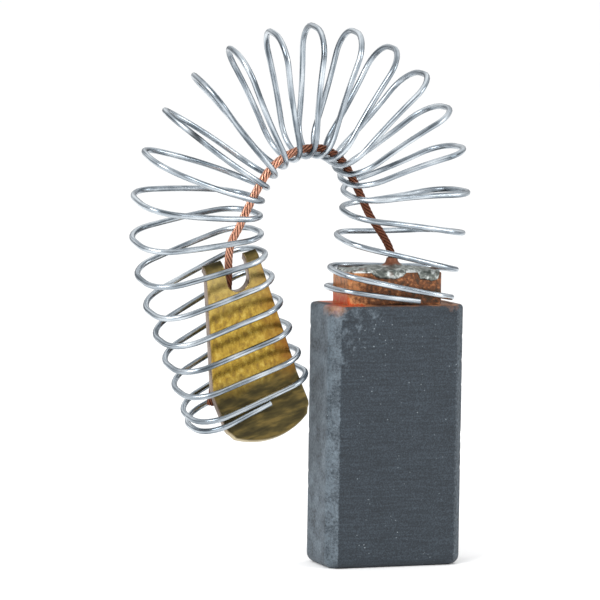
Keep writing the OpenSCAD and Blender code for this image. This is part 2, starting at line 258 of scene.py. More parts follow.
@dataclass(frozen=True)
class Arch:
    """The bowed middle line that the coils, the shunt and the terminal hang on.

    Turns are counted from where the wire first passes the left side of the tenon.
    """

    wire: float = 0.5
    coil_width: float = 11.5
    coil_depth: float = 6.3
    corner: float = 2.4
    coil_pitch: float = 2.52
    stretch: float = 0.5
    head_lean: float = 7.5
    bow: float = 213.0
    bow_start: float = 1.4
    bow_end: float = 15.1
    bend_in: float = 2.5
    bend_out: float = 4.6
    pitch_in: float = 1.6
    pitch_out: float = 1.25
    lean: float = 9.7
    yaw: float = 7.3
    first: float = -0.31
    last: float = 23.78
    foot: tuple[float, float, float] = (0.15, 0.0, 23.3536)

    @property
    def half_width(self) -> float:
        """Half the coil's width, to the middle of the wire."""
        return (self.coil_width - self.wire) / 2

    @property
    def half_depth(self) -> float:
        """Half the coil's depth, to the middle of the wire."""
        return (self.coil_depth - self.wire) / 2

    def heading(self, turn: np.ndarray) -> np.ndarray:
        """Angle that the arch has turned through, in radians.

        Args:
            turn: turns along the arch.

        Returns:
            The angle at each turn; straight up is 0.
        """
        bent = [eased(np.asarray(t) - self.bow_start, self.bend_in)
                - eased(np.asarray(t) - self.bow_end, self.bend_out) for t in (turn, self.last)]
        return np.radians(-self.head_lean + self.bow * bent[0] / bent[1])

    def pitch(self, turn: np.ndarray) -> np.ndarray:
        """Distance to the next coil; it closes up at both ends.

        Args:
            turn: turns along the arch.

        Returns:
            The pitch at each turn.
        """
        spread = self.coil_pitch + self.stretch * np.clip((5 - turn) / 3, 0, 1)
        closing = np.clip((self.last - 0.25 - turn) / self.pitch_out, 0, 1)
        return spread * np.clip((turn - self.first) / self.pitch_in, 0, 1) * closing

    @cached_property
    def path(self) -> tuple[np.ndarray, np.ndarray, np.ndarray]:
        """The middle line in the arch's own plane.

        Returns:
            Turns, and its places across and up at them.
        """
        turns = np.linspace(self.first, self.last, 4001)
        between = (turns[1:] + turns[:-1]) / 2
        step, way = np.diff(turns) * self.pitch(between), self.heading(between)
        return (turns, np.concatenate([[0], np.cumsum(-step * np.sin(way))]),
                np.concatenate([[0], np.cumsum(step * np.cos(way))]))

    @cached_property
    def oblong(self) -> np.ndarray:
        """The coil's rounded oblong.

        Returns:
            Share of the turn, place across and place in depth, one point a row.
        """
        a, b, r = self.half_width, self.half_depth, self.corner
        points = [(-a, 0.0)]
        centres = [(r - a, b - r), (a - r, b - r), (a - r, r - b), (r - a, r - b)]
        for k, (x, y) in enumerate(centres):
            for angle in np.radians(np.linspace(180, 90, 25) - 90 * k):
                points.append((x + r * math.cos(angle), y + r * math.sin(angle)))
        points = np.array(points + [(-a, 0.0)])
        length = lengths(points)
        return np.column_stack([length / length[-1], points])

    def placed(self, points: np.ndarray, share: np.ndarray) -> np.ndarray:
        """Leans and turns points of the arch's own plane and sets them on its foot.

        Args:
            points: across, back and up, one a row.
            share: how much of the lean and the turn each takes.

        Returns:
            Places in the part's frame.
        """
        x, y, z = points.T
        lean, yaw = np.radians(self.lean) * share, np.radians(self.yaw) * share
        y, z = y * np.cos(lean) - z * np.sin(lean), y * np.sin(lean) + z * np.cos(lean)
        x, y = x * np.cos(yaw) - y * np.sin(yaw), x * np.sin(yaw) + y * np.cos(yaw)
        return np.column_stack([x, y, z]) + self.foot

    def at(self, turn: np.ndarray, across: np.ndarray, back: np.ndarray) -> np.ndarray:
        """Places that lie across and back from the middle line.

        Args:
            turn: turns along the arch.
            across: distance outwards along the coil's width, at each turn.
            back: distance along the coil's depth, at each turn.

        Returns:
            Places in the part's frame.
        """
        turns, x, z = self.path
        way = self.heading(turn)
        flat = np.column_stack([np.interp(turn, turns, x) + across * np.cos(way),
                                np.broadcast_to(back, np.shape(turn)),
                                np.interp(turn, turns, z) + across * np.sin(way)])
        return self.placed(flat, np.clip((turn + 0.5) / 4.1, 0, 1))

    def coil(self, turn: np.ndarray) -> np.ndarray:
        """The wire's middle line.

        Args:
            turn: turns along the arch.

        Returns:
            Its place at each turn, in the part's frame.
        """
        share, x, y = self.oblong.T
        along = turn - np.floor(turn)
        return self.at(turn, np.interp(along, share, x), np.interp(along, share, y))


@dataclass(frozen=True)
class Seat:
    """Where the terminal sits in the arch: the frame of its blade, origin at the lip's bend."""

    arch: Arch
    sheet: float = 0.8
    slant: float = 8.8
    inset: float = 0.8
    rise: float = 1.8
    lip_width: float = 8.0
    lip_bend: float = 30.0
    bend_radius: float = 1.0
    lip_gap: float = 0.15

    @property
    def setback(self) -> float:
        """Sets the blade back behind the front wires, so that the lip clears the last coil.

        Returns:
            The distance.
        """
        slant, bend = math.radians(self.slant), math.radians(self.lip_bend)
        half = self.arch.wire / 2
        drop = self.rise / math.cos(slant) + self.lip_width / 2 * math.tan(slant)
        reach = half + self.lip_gap + (drop - self.bend_radius * math.sin(bend)) * math.sin(bend)
        return self.bend_radius * (1 - math.cos(bend)) - half + reach / math.cos(bend)

    def placed(self, points: np.ndarray) -> np.ndarray:
        """Sets points of the terminal in its place in the arch.

        Args:
            points: across, back and up from the lip's bend, one a row.

        Returns:
            Places in the part's frame.
        """
        arch, (_, path_x, path_z) = self.arch, self.arch.path
        way = float(arch.heading(arch.last))
        tilt = math.pi - way + math.radians(self.slant)
        foot_x = path_x[-1] + self.rise * math.sin(way) - self.inset * math.cos(way)
        foot_z = path_z[-1] - self.rise * math.cos(way) - self.inset * math.sin(way)
        forward = arch.half_depth - (arch.wire + self.sheet) / 2 - self.setback
        x, y, z = points.T
        flat = np.column_stack([foot_x + x * math.cos(tilt) + z * math.sin(tilt), y - forward,
                                foot_z - x * math.sin(tilt) + z * math.cos(tilt)])
        return arch.placed(flat, np.ones(len(flat)))


@dataclass(frozen=True)
class GroundCarbon:
    """Electrographite, pressed, sawn and surface-ground, with copper plated on the head."""

    name: str = "ground_electrographite"
    pressed: str = "#20262B"
    body: str = "#2A3138"
    ground: str = "#3A434B"
    wear_and_lit_side: str = "#6C7881"
    dust: str = "#98A4AA"
    fresh: str = "#C4532A"
    tan: str = "#C58B5C"
    oxide: str = "#7A4C31"
    olive: str = "#40352A"

    def material(self) -> bpy.types.Material:
        """Builds the material.

        Grinding leaves fine level lines, corners wear lighter, and the soft carbon keeps pale
        dust in its pores. The point's "head" mark gives plating in x; in y wear, together with
        painted light on the lit left side; and in z how far the plating has tarnished from red
        copper through tan to olive brown.

        Returns:
            The material.
        """
        made, tree = started(self.name)
        place = add(tree, "ShaderNodeTexCoord").outputs["Object"]
        head = add(tree, "ShaderNodeAttribute", {"attribute_name": "head"})
        split = add(tree, "ShaderNodeSeparateXYZ", links={0: head.outputs["Vector"]})
        # grinding lines lie 0.2 mm apart here, coarser than the real 0.05 mm, so that they show
        level = add(tree, "ShaderNodeMapping", {"Scale": (320.0, 320.0, 5000.0)}, {0: place})
        lines = add(tree, "ShaderNodeTexNoise", {"Scale": 1.0, "Detail": 3.0},
                    {"Vector": level.outputs[0]})
        # grains of 0.1 mm and clouds of 2 mm in the pressed powder
        grain = add(tree, "ShaderNodeTexNoise", {"Scale": 9000.0, "Detail": 2.0}, {"Vector": place})
        cloud = add(tree, "ShaderNodeTexNoise", {"Scale": 480.0, "Detail": 4.0}, {"Vector": place})
        tone = add(tree, "ShaderNodeMath", {"operation": "MULTIPLY_ADD", 1: 0.6},
                   {0: lines.outputs[0], 2: grain.outputs[0]})
        tone = add(tree, "ShaderNodeMath", {"operation": "MULTIPLY_ADD", 1: 0.2},
                   {0: cloud.outputs[0], 2: tone.outputs[0]})
        tone = add(tree, "ShaderNodeMath", {"operation": "MULTIPLY", 1: 0.556},
                   {0: tone.outputs[0]})
        shade = add(tree, "ShaderNodeValToRGB",
                    {"stops": [(0.36, linear(self.pressed)), (0.5, linear(self.body)),
                               (0.66, linear(self.ground))]}, {0: tone.outputs[0]})
        # pale dust sits in single pores, about 0.5 mm apart
        pore = add(tree, "ShaderNodeTexVoronoi", {"Scale": 1900.0}, {"Vector": place})
        speck = add(tree, "ShaderNodeMapRange", {1: 0.13, 2: 0.05}, {0: pore.outputs["Distance"]})
        open_skin = add(tree, "ShaderNodeMapRange", {1: 0.46, 2: 0.66, 4: 0.8},
                        {0: cloud.outputs[0]})
        patch = add(tree, "ShaderNodeMath", {"operation": "MULTIPLY"},
                    {0: speck.outputs[0], 1: open_skin.outputs[0]})
        pale = add(tree, "ShaderNodeMix", {"data_type": "RGBA", 7: linear(self.dust)},
                   {0: patch.outputs[0], 6: shade.outputs[0]})
        # corner wear, scuffs and the painted light on the lit left side break up into flecks of
        # 0.24 mm
        fleck = add(tree, "ShaderNodeTexNoise", {"Scale": 4200.0, "Detail": 5.0, "Roughness": 0.75},
                    {"Vector": place})
        scuff = add(tree, "ShaderNodeMath", {"operation": "MULTIPLY_ADD", 1: 0.6},
                    {0: split.outputs["Y"], 2: fleck.outputs[0]})
        rubbed = add(tree, "ShaderNodeMapRange", {1: 0.7, 2: 1.14}, {0: scuff.outputs[0]})
        wear_and_lit_side = add(tree, "ShaderNodeMix", {"data_type": "RGBA", 7: linear(self.wear_and_lit_side)},
                   {0: rubbed.outputs[0], 6: pale.outputs[2]})
        # plating: red where it is fresh, tan and brown where the solder's heat has tarnished it,
        # in blotches of 0.4 mm
        blotch = add(tree, "ShaderNodeTexNoise", {"Scale": 2300.0, "Detail": 6.0, "Roughness": 0.7},
                     {"Vector": place})
        age = add(tree, "ShaderNodeMath", {"operation": "MULTIPLY_ADD", 1: 2.0},
                  {0: blotch.outputs[0], 2: split.outputs["Z"]})
        age = add(tree, "ShaderNodeMapRange", {1: 1.0, 2: 2.0}, {0: age.outputs[0]})
        copper = add(tree, "ShaderNodeValToRGB",
                     {"stops": [(0.0, linear(self.fresh)), (0.32, linear(self.tan)),
                                (0.62, linear(self.oxide)), (0.95, linear(self.olive))]},
                     {0: age.outputs[0]})
        edge = add(tree, "ShaderNodeMath", {"operation": "MULTIPLY_ADD", 1: 0.6},
                   {0: blotch.outputs[0], 2: split.outputs["X"]})
        plated = add(tree, "ShaderNodeMapRange", {1: 0.45, 2: 1.0}, {0: edge.outputs[0]})
        colour = add(tree, "ShaderNodeMix", {"data_type": "RGBA"},
                     {0: plated.outputs[0], 6: wear_and_lit_side.outputs[2], 7: copper.outputs[0]})
        rough = add(tree, "ShaderNodeMapRange", {3: 0.6, 4: 0.42}, {0: plated.outputs[0]})
        metal = add(tree, "ShaderNodeMath", {"operation": "MULTIPLY", 1: 0.55},
                    {0: plated.outputs[0]})
        bump = add(tree, "ShaderNodeBump", {"Strength": 0.3, "Distance": 0.00003},
                   {"Height": tone.outputs[0]})
        skin = add(tree, "ShaderNodeBsdfPrincipled", {"Specular IOR Level": 0.3},
                   {"Base Color": colour.outputs[2], "Roughness": rough.outputs[0],
                    "Metallic": metal.outputs[0], "Normal": bump.outputs[0]})
        add(tree, "ShaderNodeOutputMaterial", None, {0: skin.outputs[0]})
        return made


@dataclass(frozen=True)
class FrozenSolder:
    """Tin-lead solder, frozen dull and lumpy over the plated head."""

    name: str = "frozen_tin_solder"
    shaded: str = "#565B57"
    dull: str = "#7A7F7A"
    bright: str = "#BFC5C2"
    painted_rim_highlight: str = "#E6EAE8"
    flux: str = "#7A4F3C"

    def material(self) -> bpy.types.Material:
        """Builds the material: a grained grey skin with a painted highlight along its rim and,
        fainter, on its runs, browned by flux.

        The point's "pool" mark is 1 at the pool's rim in x, where the highlight is painted, and 1
        round the shunt in y.

        Returns:
            The material.
        """
        made, tree = started(self.name)
        place = add(tree, "ShaderNodeTexCoord").outputs["Object"]
        pool = add(tree, "ShaderNodeAttribute", {"attribute_name": "pool"})
        split = add(tree, "ShaderNodeSeparateXYZ", links={0: pool.outputs["Vector"]})
        # frozen grains of 0.4 mm and patches of 1.1 mm
        grains = add(tree, "ShaderNodeTexNoise", {"Scale": 2400.0, "Detail": 5.0},
                     {"Vector": place})
        patches = add(tree, "ShaderNodeTexNoise", {"Scale": 900.0, "Detail": 4.0},
                      {"Vector": place})
        skin = add(tree, "ShaderNodeValToRGB",
                   {"stops": [(0.36, linear(self.shaded)), (0.5, linear(self.dull)),
                              (0.66, linear(self.bright))]}, {0: grains.outputs[0]})
        # painted highlight: near white along the pool's rim, fainter on its runs over the front
        # edge
        rim_highlight_mask = add(tree, "ShaderNodeMath", {"operation": "MULTIPLY"},
                   {0: split.outputs["X"], 1: grains.outputs[0]})
        rim_highlight_mask = add(tree, "ShaderNodeMapRange", {1: 0.3, 2: 0.6}, {0: rim_highlight_mask.outputs[0]})
        lit = add(tree, "ShaderNodeMix", {"data_type": "RGBA", 7: linear(self.painted_rim_highlight)},
                  {0: rim_highlight_mask.outputs[0], 6: skin.outputs[0]})
        burnt = add(tree, "ShaderNodeMath", {"operation": "MULTIPLY_ADD", 1: 0.3},
                    {0: split.outputs["Y"], 2: patches.outputs[0]})
        brown = add(tree, "ShaderNodeMapRange", {1: 0.58, 2: 0.76}, {0: burnt.outputs[0]})
        colour = add(tree, "ShaderNodeMix", {"data_type": "RGBA", 7: linear(self.flux)},
                     {0: brown.outputs[0], 6: lit.outputs[2]})
        rough = add(tree, "ShaderNodeMapRange", {1: 0.3, 2: 0.7, 3: 0.34, 4: 0.6},
                    {0: patches.outputs[0]})
        bump = add(tree, "ShaderNodeBump", {"Strength": 0.5, "Distance": 0.00005},
                   {"Height": grains.outputs[0]})
        surface = add(tree, "ShaderNodeBsdfPrincipled", {"Metallic": 0.85},
                      {"Base Color": colour.outputs[2], "Roughness": rough.outputs[0],
                       "Normal": bump.outputs[0]})
        add(tree, "ShaderNodeOutputMaterial", None, {0: surface.outputs[0]})
        return made


@dataclass(frozen=True)
class StrandedCopper:
    """Bare copper strand, drawn, bunched and twisted; heat has browned it at the head, and low in
    the notch its brown is painted shade.
    """

    name: str = "drawn_bare_copper"
    bright: str = "#D08A6C"
    rubbed: str = "#E6B39A"
    brown: str = "#774A37"
    # painted shade between the strands
    gap: str = "#43251B"

    def material(self) -> bpy.types.Material:
        """Builds the material: pink metal with painted shade in the gaps between strands, browned
        by tarnish at the head and by painted shade low in the notch.

        The point's "twist" mark holds its distance from the shunt's own middle, as a share of
        its radius.

        Returns:
            The material.
        """
        made, tree = started(self.name)
        place = add(tree, "ShaderNodeTexCoord").outputs["Object"]
        where = add(tree, "ShaderNodeSeparateXYZ", links={0: place})
        twist = add(tree, "ShaderNodeAttribute", {"attribute_name": "twist"})
        out = add(tree, "ShaderNodeSeparateXYZ", links={0: twist.outputs["Vector"]})
        # handling leaves the strands mottled every 0.5 mm
        mottle = add(tree, "ShaderNodeTexNoise", {"Scale": 1900.0, "Detail": 4.0},
                     {"Vector": place})
        # tarnish sets in at the arch's top and is full at the head; low down, in the notch and
        # behind the blade, the same brown is painted shade
        heat = add(tree, "ShaderNodeMapRange", {1: -0.0118, 2: -0.0085}, {0: where.outputs["X"]})
        notch_shade = add(tree, "ShaderNodeMapRange", {1: 0.0272, 2: 0.0255}, {0: where.outputs["Z"]})
        both = add(tree, "ShaderNodeMath", {"operation": "MAXIMUM"},
                   {0: heat.outputs[0], 1: notch_shade.outputs[0]})
        tint = add(tree, "ShaderNodeMath", {"operation": "MULTIPLY_ADD", 1: 0.8},
                   {0: mottle.outputs[0], 2: both.outputs[0]})
        shade = add(tree, "ShaderNodeMapRange", {1: 0.4, 2: 1.25}, {0: tint.outputs[0]})
        clean = add(tree, "ShaderNodeMix",
                    {"data_type": "RGBA", 6: linear(self.bright), 7: linear(self.rubbed)},
                    {0: mottle.outputs[0]})
        tarnished_and_shaded = add(tree, "ShaderNodeMix", {"data_type": "RGBA", 7: linear(self.brown)},
                   {0: shade.outputs[0], 6: clean.outputs[2]})
        # painted shade: points deep between the strands, near the shunt's middle, are painted dark
        gap_shade = add(tree, "ShaderNodeMapRange", {1: 0.97, 2: 0.8}, {0: out.outputs["X"]})
        colour = add(tree, "ShaderNodeMix", {"data_type": "RGBA", 7: linear(self.gap)},
                     {0: gap_shade.outputs[0], 6: tarnished_and_shaded.outputs[2]})
        rough = add(tree, "ShaderNodeMapRange", {3: 0.28, 4: 0.5}, {0: shade.outputs[0]})
        surface = add(tree, "ShaderNodeBsdfPrincipled", {"Metallic": 0.95},
                      {"Base Color": colour.outputs[2], "Roughness": rough.outputs[0]})
        add(tree, "ShaderNodeOutputMaterial", None, {0: surface.outputs[0]})
        return made


@dataclass(frozen=True)
class ZincWire:
    """Hard-drawn steel wire, zinc plated, dulled by handling."""

    name: str = "drawn_zinc_plated_steel"
    light: str = "#CCD3D8"
    mid: str = "#98A1A9"
    dark: str = "#5A636A"
    scorch: str = "#1F2326"
    scorch_place: tuple[float, float, float] = (-0.0203, -0.0079, 0.0375)

    def material(self) -> bpy.types.Material:
        """Builds the material: blue-grey metal with dark and light streaks left by the die.

        Returns:
            The material.
        """
        made, tree = started(self.name)
        place = add(tree, "ShaderNodeTexCoord").outputs["Object"]
        drawn = add(tree, "ShaderNodeAttribute", {"attribute_name": "drawn"})
        # streaks 0.2 mm wide and some 4 mm long, coarser than the real die lines so that they show
        run = add(tree, "ShaderNodeMapping", {"Scale": (0.25, 4.5, 4.5)},
                  {0: drawn.outputs["Vector"]})
        streak = add(tree, "ShaderNodeTexNoise", {"Scale": 1.0, "Detail": 3.0},
                     {"Vector": run.outputs[0]})
        smudge = add(tree, "ShaderNodeTexNoise", {"Scale": 420.0, "Detail": 3.0}, {"Vector": place})
        tone = add(tree, "ShaderNodeMath", {"operation": "MULTIPLY_ADD", 1: 0.5},
                   {0: smudge.outputs[0], 2: streak.outputs[0]})
        colour = add(tree, "ShaderNodeValToRGB",
                     {"stops": [(0.58, linear(self.dark)), (0.74, linear(self.mid)),
                                (0.92, linear(self.light))]}, {0: tone.outputs[0]})
        # one short burnt mark lies on a coil high on the left
        away = add(tree, "ShaderNodeVectorMath", {"operation": "DISTANCE", 1: self.scorch_place},
                   {0: place})
        burnt = add(tree, "ShaderNodeMapRange", {1: 0.0011, 2: 0.0004, 4: 0.8},
                    {0: away.outputs["Value"]})
        marked = add(tree, "ShaderNodeMix", {"data_type": "RGBA", 7: linear(self.scorch)},
                     {0: burnt.outputs[0], 6: colour.outputs[0]})
        rough = add(tree, "ShaderNodeMapRange", {1: 0.35, 2: 0.65, 3: 0.2, 4: 0.34},
                    {0: streak.outputs[0]})
        bump = add(tree, "ShaderNodeBump", {"Strength": 0.25, "Distance": 0.00001},
                   {"Height": streak.outputs[0]})
        surface = add(tree, "ShaderNodeBsdfPrincipled", {"Metallic": 1.0},
                      {"Base Color": marked.outputs[2], "Roughness": rough.outputs[0],
                       "Normal": bump.outputs[0]})
        add(tree, "ShaderNodeOutputMaterial", None, {0: surface.outputs[0]})
        return made


@dataclass(frozen=True)
class RolledBrass:
    """Half-hard brass sheet, rolled, blanked and bent; its lip is painted dark olive as shade."""

    name: str = "rolled_brass_sheet"
    gold: str = "#A38534"
    light: str = "#C2A854"
    amber: str = "#7F6430"
    right_side_brown: str = "#7C4B1E"
    pale: str = "#A89A6C"
    olive: str = "#4E4529"
    deepest_lip_shade: str = "#3A3421"
    bronze: str = "#6C5C34"
    cut: str = "#84756A"
    # painted highlight along the lip's sheared edge
    painted_edge_highlight: str = "#B8AA88"

    def material(self) -> bpy.types.Material:
        """Builds the material.

        Rolling and handling mottle the sheet, which fades pale towards the ears and orange along
        its right side. The blank's flat place is read from the "blank" mark, whose third value
        is 1 on the sheared edge.

        Returns:
            The material.
        """
        made, tree = started(self.name)
        blank = add(tree, "ShaderNodeAttribute", {"attribute_name": "blank"})
        flat = add(tree, "ShaderNodeSeparateXYZ", links={0: blank.outputs["Vector"]})
        # rolling mottles it every 0.45 mm across and 0.8 mm along, and stains lie 1.4 mm apart
        run = add(tree, "ShaderNodeMapping", {"Scale": (2.2, 1.3, 1.0)},
                  {0: blank.outputs["Vector"]})
        mottle = add(tree, "ShaderNodeTexNoise", {"Scale": 1.0, "Detail": 7.0, "Roughness": 0.65},
                     {"Vector": run.outputs[0]})
        stain = add(tree, "ShaderNodeTexNoise", {"Scale": 0.7, "Detail": 5.0},
                    {"Vector": blank.outputs["Vector"]})
        gold = add(tree, "ShaderNodeValToRGB",
                   {"stops": [(0.36, linear(self.amber)), (0.5, linear(self.gold)),
                              (0.66, linear(self.light))]}, {0: mottle.outputs[0]})
        high = add(tree, "ShaderNodeMapRange", {1: 6.0, 2: 11.0, 4: 0.7}, {0: flat.outputs["Y"]})
        faded = add(tree, "ShaderNodeMix", {"data_type": "RGBA", 7: linear(self.pale)},
                    {0: high.outputs[0], 6: gold.outputs[0]})
        # the blade's right side turns a darker orange-brown
        side = add(tree, "ShaderNodeMath", {"operation": "MULTIPLY_ADD", 1: 3.0},
                   {0: stain.outputs[0], 2: flat.outputs["X"]})
        side = add(tree, "ShaderNodeMapRange", {1: 2.6, 2: 5.2, 4: 0.8}, {0: side.outputs[0]})
        right_side_tinted = add(tree, "ShaderNodeMix", {"data_type": "RGBA", 7: linear(self.right_side_brown)},
                     {0: side.outputs[0], 6: faded.outputs[2]})
        # painted shade: the lip, bent forward and down, is painted dark olive; the ears' bent tips
        # are darkened the same way
        low = add(tree, "ShaderNodeMapRange", {1: 1.3, 2: -1.3}, {0: flat.outputs["Y"]})
        tip = add(tree, "ShaderNodeMapRange", {1: 10.3, 2: 10.7}, {0: flat.outputs["Y"]})
        dull = add(tree, "ShaderNodeMath", {"operation": "MAXIMUM"},
                   {0: low.outputs[0], 1: tip.outputs[0]})
        dull = add(tree, "ShaderNodeMath", {"operation": "MULTIPLY_ADD", 1: 0.9},
                   {0: stain.outputs[0], 2: dull.outputs[0]})
        dull = add(tree, "ShaderNodeMapRange", {1: 0.55, 2: 1.3}, {0: dull.outputs[0]})
        # the lip's painted shade lies in slanting bands 0.5 mm apart
        band = add(tree, "ShaderNodeMapping",
                   {"Rotation": (0.0, 0.0, 0.45), "Scale": (0.5, 1.9, 1.0)},
                   {0: blank.outputs["Vector"]})
        lip_shade_bands = add(tree, "ShaderNodeTexNoise", {"Scale": 1.0, "Detail": 4.0},
                   {"Vector": band.outputs[0]})
        # the colours of the lip's painted shade, from dark olive to bronze
        tarnish = add(tree, "ShaderNodeValToRGB",
                      {"stops": [(0.36, linear(self.deepest_lip_shade)), (0.5, linear(self.olive)),
                                 (0.64, linear(self.bronze))]}, {0: lip_shade_bands.outputs[0]})
        face = add(tree, "ShaderNodeMix", {"data_type": "RGBA"},
                   {0: dull.outputs[0], 6: right_side_tinted.outputs[2], 7: tarnish.outputs[0]})
        # the lip's sheared edge is painted with a highlight; the blade's sheared edge stays grey,
        # as cut
        rolled = add(tree, "ShaderNodeMapRange", {1: -2.5, 2: -4.0}, {0: flat.outputs["Y"]})
        cut_edge_and_highlight = add(tree, "ShaderNodeMix",
                   {"data_type": "RGBA", 6: linear(self.cut), 7: linear(self.painted_edge_highlight)},
                   {0: rolled.outputs[0]})
        colour = add(tree, "ShaderNodeMix", {"data_type": "RGBA"},
                     {0: flat.outputs["Z"], 6: face.outputs[2], 7: cut_edge_and_highlight.outputs[2]})
        rough = add(tree, "ShaderNodeMapRange", {3: 0.26, 4: 0.42}, {0: dull.outputs[0]})
        bump = add(tree, "ShaderNodeBump", {"Strength": 0.25, "Distance": 0.00002},
                   {"Height": mottle.outputs[0]})
        surface = add(tree, "ShaderNodeBsdfPrincipled", {"Metallic": 0.9},
                      {"Base Color": colour.outputs[2], "Roughness": rough.outputs[0],
                       "Normal": bump.outputs[0]})
        add(tree, "ShaderNodeOutputMaterial", None, {0: surface.outputs[0]})
        return made


@dataclass
class CarbonBlock:
    """The block and its tenon as one skin with its wear, from the contact face up."""

    width: float = 12.5
    depth: float = 6.3
    height: float = 22.8
    chamfer: float = 0.8
    foot_round: float = 0.8
    top_round: float = 0.35
    arris: float = 0.1
    tenon_width: float = 8.7
    tenon_depth: float = 4.3
    tenon_height: float = 2.75
    tenon_round: float = 0.3
    step: float = 0.18

    def outline(self, half_x: float, half_y: float, cut: float, arris: float) -> np.ndarray:
        """A rectangle with cut corners, always with the same number of points a side.

        Args:
            half_x: half its width.
            half_y: half its depth.
            cut: chamfer of its corners.
            arris: rounding where the chamfers meet the sides.

        Returns:
            The outline's points, counter-clockwise.
        """
        near_x, near_y = half_x - cut, half_y - cut
        corners = np.array([(half_x, -near_y), (half_x, near_y), (near_x, half_y),
                            (-near_x, half_y), (-half_x, near_y), (-half_x, -near_y),
                            (-near_x, -half_y), (near_x, -half_y)])
        counts = [26, 8, 52, 8] * 2
        points = []
        for k, count in enumerate(counts):
            a, b = corners[k], corners[(k + 1) % 8]
            points += [a + (b - a) * f for f in np.linspace(0, 1, count, endpoint=False)]
        points = np.array(points)
        for _ in range(2):
            rounder = (np.roll(points, 1, 0) + 2 * points + np.roll(points, -1, 0)) / 4
            near = np.min(np.linalg.norm(points[:, None] - corners[None], axis=2), axis=1)
            points = np.where((near < 2 * arris)[:, None], rounder, points)
        return points

    def rings(self) -> np.ndarray:
        """Stacks outlines from the middle of the contact face to the top of the tenon.

        Returns:
            Rings, each with its points in order.
        """
        half_x, half_y, arris = self.width / 2, self.depth / 2, self.arris
        body = self.outline(half_x, half_y, self.chamfer, arris)
        head = self.outline(self.tenon_width / 2, self.tenon_depth / 2, self.tenon_round, 0.05)
        made = [(body * s, 0.0) for s in (0.25, 0.5, 0.7)]
        made += [(self.inset(body, inset), lift) for inset, lift in rounding(self.foot_round, 7)]
        made += [(body, z) for z in
                 np.arange(self.foot_round + self.step, self.height - self.top_round, self.step)]
        made += [(self.inset(body, inset), self.height - drop)
                 for inset, drop in rounding(self.top_round, 5)[::-1]]
        rim = made[-1][0]
        made += [(rim + (head - rim) * f, self.height) for f in (0.2, 0.4, 0.6, 0.8, 0.95)]
        top = self.height + self.tenon_height
        made += [(head, z) for z in np.linspace(self.height, top - 0.08, 16)]
        made += [(self.inset(head, 0.03), top - 0.02), (self.inset(head, 0.09), top)]
        made += [(head * s, top) for s in (0.7, 0.4, 0.15)]
        return np.array([np.column_stack([xy, np.full(len(xy), z)]) for xy, z in made])

    @staticmethod
    def inset(outline: np.ndarray, distance: float) -> np.ndarray:
        """Moves an outline's points inwards along its own normals."""
        way = unit(np.roll(outline, -1, 0) - np.roll(outline, 1, 0))
        return outline + distance * np.column_stack([-way[:, 1], way[:, 0]])

    def head_marks(self, points: np.ndarray) -> np.ndarray:
        """Plating in x, wear and painted light on the lit left side in y, and the plating's tarnish
        in z.

        Args:
            points: the skin's points.

        Returns:
            One vector for each point.
        """
        x, y, z = points.T
        cloud, top, front = lumps(points, 1.1, 3.0), z - self.height, y < -1
        plated = smooth(-0.14, 0.08, top + 0.08 * cloud)
        on_shoulder = (top < 0.03) & (top > -0.4)
        plated *= np.where(on_shoulder, smooth(-5.8, -4.9, x + 0.4 * cloud), 1)
        left = smooth(1.5, 0.1, np.hypot(x + 5.7, top * 0.9)) * front
        right = smooth(1.7, 0.2, np.hypot(x - 4.9, top * 1.3)) * front
        haze = 0.14 * smooth(-0.8, -0.1, top + 0.2 * cloud)
        plated = np.maximum(plated, np.maximum(np.maximum(0.4 * left, 0.22 * right), haze))
        on_face = np.where(x < -4.2, 0.04 + 0.34 * smooth(0.5, 1.3, top),
                           0.36 + 0.34 * smooth(-3.9, -2.4, x)
                           + 0.15 * smooth(0.5, 2.0, x) * (top < 1.3))
        on_top = np.where(x < -3, 0.02,
                          0.4 + 0.3 * smooth(-2.6, -1.4, x) - 0.15 * smooth(1.5, 4, x))
        tarnish = np.where(top > 0.05, on_face, np.where(top < -0.1, 0.3, on_top))
        near = np.abs(np.abs(x) + np.abs(y) - (self.width + self.depth) / 2 + self.chamfer)
        body = top < 0
        wear_and_lit_side = 0.5 * smooth(0.35, 0.0, near) * body
        # painted light: the whole left side and its chamfers, which face the light, are painted
        # lighter
        wear_and_lit_side = np.maximum(wear_and_lit_side, (0.66 + 0.3 * cloud) * ((x < -5.3) & body))
        # the right side and its chamfers are made somewhat lighter too
        wear_and_lit_side = np.maximum(wear_and_lit_side, (0.4 + 0.2 * cloud) * ((x > 5.5) & body))
        # one long scratch slants over the front, and the skin above it is rubbed
        slant = (z - 19.3 - 1.46 * (x + 3.4)) / 1.77
        reach = smooth(5.6, 2.0, np.hypot(x + 4.0, (z - 20.4) * 0.75)) * (y < -3)
        speckled = lumps(points, 0.45, 9.0) + lumps(points, 0.9, 2.0)
        scratch = (0.3 + 0.35 * speckled) * smooth(0.3, 0.0, np.abs(slant)) * reach
        rub = smooth(-0.3, 0.5, slant) * (0.3 + 0.4 * speckled) * reach
        wear_and_lit_side = np.maximum(wear_and_lit_side, np.maximum(scratch, rub) * body)
        return np.column_stack([plated, wear_and_lit_side, tarnish])

    def build(self, finish: GroundCarbon) -> bpy.types.Object:
        """Makes the block with its chips and its plated head.

        Args:
            finish: the carbon's finish.

        Returns:
            The block's object.
        """
        rings = self.rings()
        count, around = rings.shape[:2]
        points = rings.reshape(-1, 3)
        rough = lumps(points, 0.7, 1.0)
        edge = np.abs(np.abs(points[:, 0]) + np.abs(points[:, 1])
                      - (self.width + self.depth) / 2 + self.chamfer)
        side = (points[:, 2] > 0.05) & (points[:, 2] < self.height - 0.05)
        bite = 0.06 * smooth(0.3, 0.0, edge) * smooth(0.15, 0.6, rough) * side
        points[:, :2] -= bite[:, None] * unit(points[:, :2] + 1e-9)
        return piece("carbon_block_skin", points, ring_faces(count, around), Node.BLOCK,
                     Slot.CARBON, finish.material(), 38.0, {"head": self.head_marks(points)})


